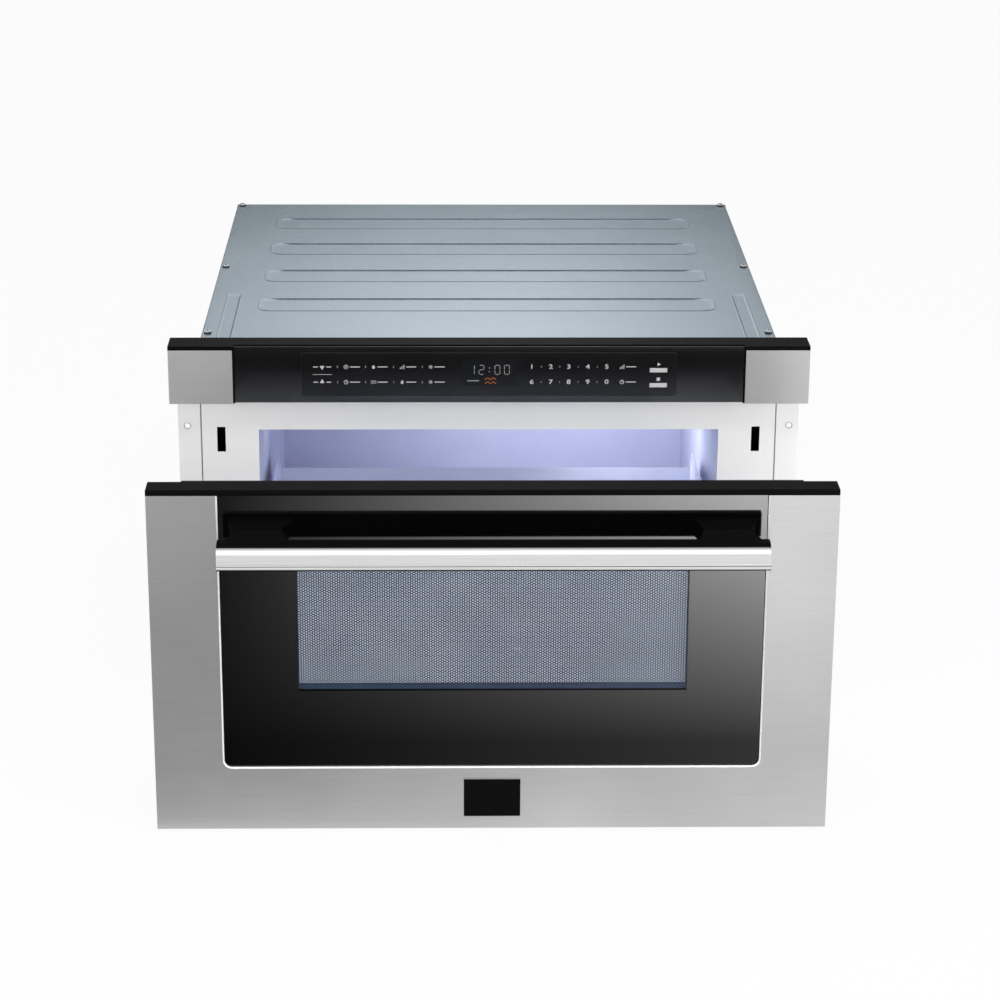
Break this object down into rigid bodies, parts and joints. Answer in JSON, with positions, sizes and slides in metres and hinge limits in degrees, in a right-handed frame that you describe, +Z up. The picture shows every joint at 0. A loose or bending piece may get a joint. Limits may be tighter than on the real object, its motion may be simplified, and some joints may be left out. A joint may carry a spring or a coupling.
{
  "type": "built-in microwave drawer",
  "caption": "Built-in microwave oven drawer, part open, with a bar handle, a windowed stainless front and a dark touch panel above it.",
  "frame": {"origin": "centre of the case's flat underside", "axes": "+X to the right as seen from the front, +Y back into the kitchen cabinet, +Z up"},
  "size_m": [0.606, 0.8752, 0.3883],
  "materials": {
    "galvanised": "galvanised sheet with a fine spangle",
    "stainless": "brushed lengthwise",
    "face_paint": "smooth light grey paint",
    "cavity_enamel": "satin blue-grey enamel",
    "black_plastic": "satin black",
    "dark_glass": "polished black glass",
    "touch_film": "satin film",
    "display": "glossy",
    "circuit_board": "solder mask",
    "screen_metal": "perforated, dark paint",
    "clear_glass": "clear",
    "steel": "plain mill finish",
    "screw_steel": "bright zinc",
    "white_plastic": "satin",
    "ceramic": "satin glass ceramic",
    "aluminium": "plain"
  },
  "bodies": {
    "cabinet": {"outer_case": "galvanised", "base_plate": "galvanised", "back_panel": "galvanised", "face_plate": "face_paint", "case_screws": "screw_steel", "mount_flange_left": "galvanised", "mount_flange_right": "galvanised", "cavity_shell": "cavity_enamel", "waveguide": "galvanised", "magnetron": "aluminium", "stirrer_motor": "steel", "stirrer_cover": "white_plastic", "lamp_housing": "galvanised", "cavity_lamp": "clear_glass", "fan_housing": "black_plastic", "fan_motor": "steel", "air_duct": "galvanised", "hv_transformer": "steel", "hv_capacitor": "aluminium", "filter_board": "circuit_board", "supply_gland": "black_plastic", "control_housing": "black_plastic", "control_glass": "dark_glass", "touch_panel": "touch_film", "display_module": "display", "control_board": "circuit_board", "end_cap_left": "stainless", "end_cap_right": "stainless", "outer_rail_left": "galvanised", "outer_rail_right": "galvanised", "interlock_left": "black_plastic", "interlock_right": "black_plastic", "drive_motor": "steel"},
    "drawer": {"door_frame": "stainless", "drawer_top_cap": "black_plastic", "door_glass": "dark_glass", "door_screen": "screen_metal", "door_core": "steel", "door_inner_plate": "face_paint", "door_inner_glass": "clear_glass", "choke_cover": "white_plastic", "handle_bar": "stainless", "handle_bracket_left": "black_plastic", "handle_bracket_right": "black_plastic", "handle_screws": "screw_steel", "badge_plate": "dark_glass", "drawer_tray": "stainless", "ceramic_floor": "ceramic", "inner_rail_left": "galvanised", "inner_rail_right": "galvanised", "drive_rack": "black_plastic", "latch_holders": "steel"},
    "rail_left": {"middle_rail_left": "galvanised"},
    "rail_right": {"middle_rail_right": "galvanised"},
    "pinion": {"drive_pinion": "black_plastic"},
    "hook_left": {"latch_hook_left": "steel"},
    "hook_right": {"latch_hook_right": "steel"},
    "fan": {"fan_blade": "black_plastic"},
    "stirrer": {"stirrer_blade": "aluminium"}
  },
  "joints": [
    {"name": "drawer_slide", "type": "slide", "parent": "cabinet", "child": "drawer", "axis": [0, -1, 0], "range_m": [-0.2372, 0.1428]},
    {"name": "rail_left_slide", "type": "slide", "parent": "cabinet", "child": "rail_left", "axis": [0, -1, 0], "range_m": [-0.1186, 0.0714]},
    {"name": "rail_right_slide", "type": "slide", "parent": "cabinet", "child": "rail_right", "axis": [0, -1, 0], "range_m": [-0.1186, 0.0714]},
    {"name": "pinion_spin", "type": "hinge", "parent": "cabinet", "child": "pinion", "pos_m": [0.0235, -0.24, 0.07], "axis": [0, 0, 1], "range_deg": [-851, 513]},
    {"name": "hook_left_pivot", "type": "hinge", "parent": "drawer", "child": "hook_left", "pos_m": [-0.2565, -0.5285, 0.2882], "axis": [1, 0, 0], "range_deg": [-3, 10], "stiffness_Nm_per_rad": 0.5},
    {"name": "hook_right_pivot", "type": "hinge", "parent": "drawer", "child": "hook_right", "pos_m": [0.2565, -0.5285, 0.2882], "axis": [1, 0, 0], "range_deg": [-3, 10], "stiffness_Nm_per_rad": 0.5},
    {"name": "fan_spin", "type": "hinge", "parent": "cabinet", "child": "fan", "pos_m": [-0.1452, 0.26, 0.245], "axis": [0, 1, 0], "continuous": true},
    {"name": "stirrer_spin", "type": "hinge", "parent": "cabinet", "child": "stirrer", "pos_m": [0, -0.0612, 0.298], "axis": [0, 0, 1], "continuous": true}
  ],
  "couplings": [
    {"joint": "rail_left_slide", "follows": "drawer_slide", "ratio": 0.5},
    {"joint": "rail_right_slide", "follows": "drawer_slide", "ratio": 0.5},
    {"joint": "pinion_spin", "follows": "drawer_slide", "rad_per_m": 62.5}
  ]
}
